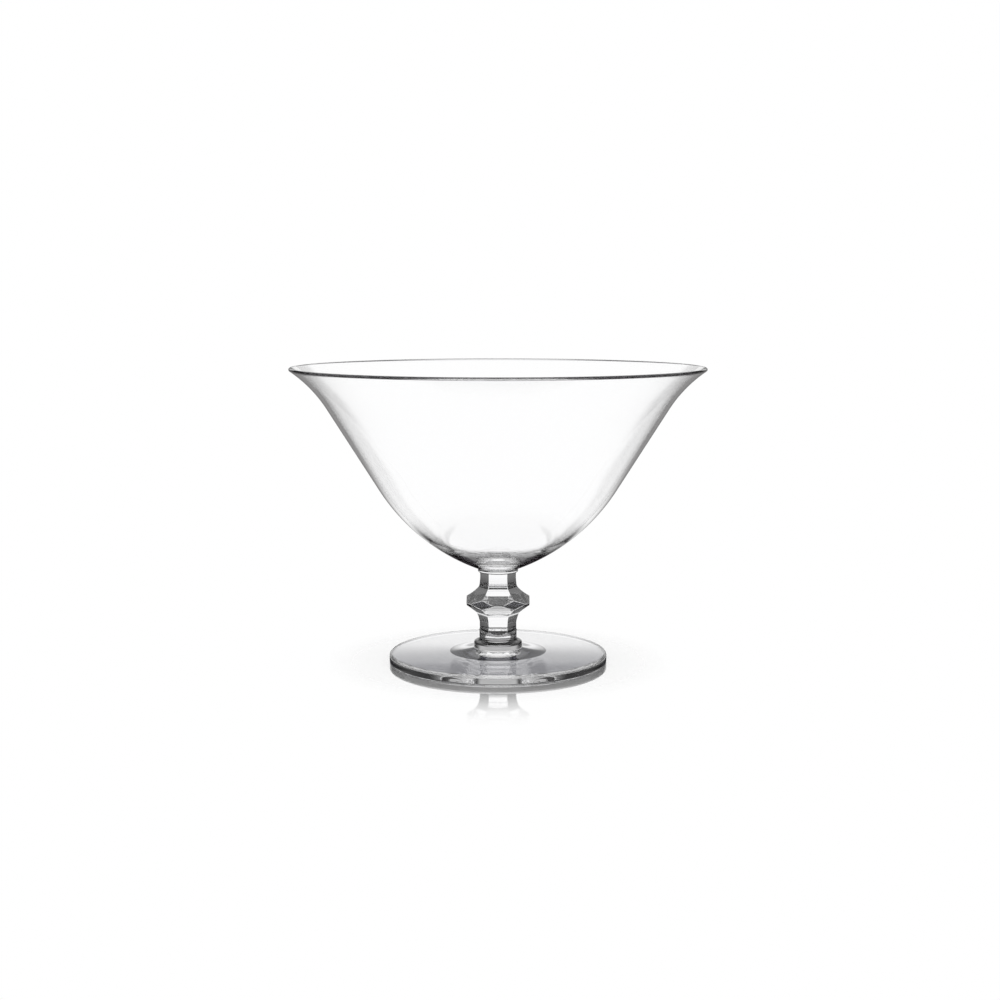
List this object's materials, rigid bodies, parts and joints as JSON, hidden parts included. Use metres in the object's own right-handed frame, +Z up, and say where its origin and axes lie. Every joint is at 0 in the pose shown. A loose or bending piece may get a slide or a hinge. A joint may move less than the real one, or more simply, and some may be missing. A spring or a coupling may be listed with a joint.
{
  "type": "trifle bowl",
  "caption": "Footed clear-glass trifle bowl: a flared bowl with a rounded lip on a short cut stem with a faceted knop, collars at both ends of the stem and a flat disc foot.",
  "frame": {"origin": "centre of the foot's underside, on the surface that the bowl stands on", "axes": "+Z runs up the axis of the bowl; one flat of the stem faces -Y, the side that the picture shows"},
  "size_m": [0.25, 0.25, 0.1796],
  "materials": {
    "blown_glass": "clear, fire-polished",
    "cut_glass": "clear, wheel-cut and polished",
    "collar_glass": "clear, fire-polished",
    "foot_glass": "clear, polished"
  },
  "bodies": {
    "root": {"bowl": "blown_glass", "bowl_collar": "collar_glass", "cut_stem": "cut_glass", "foot_collar": "collar_glass", "foot": "foot_glass"}
  },
  "joints": []
}
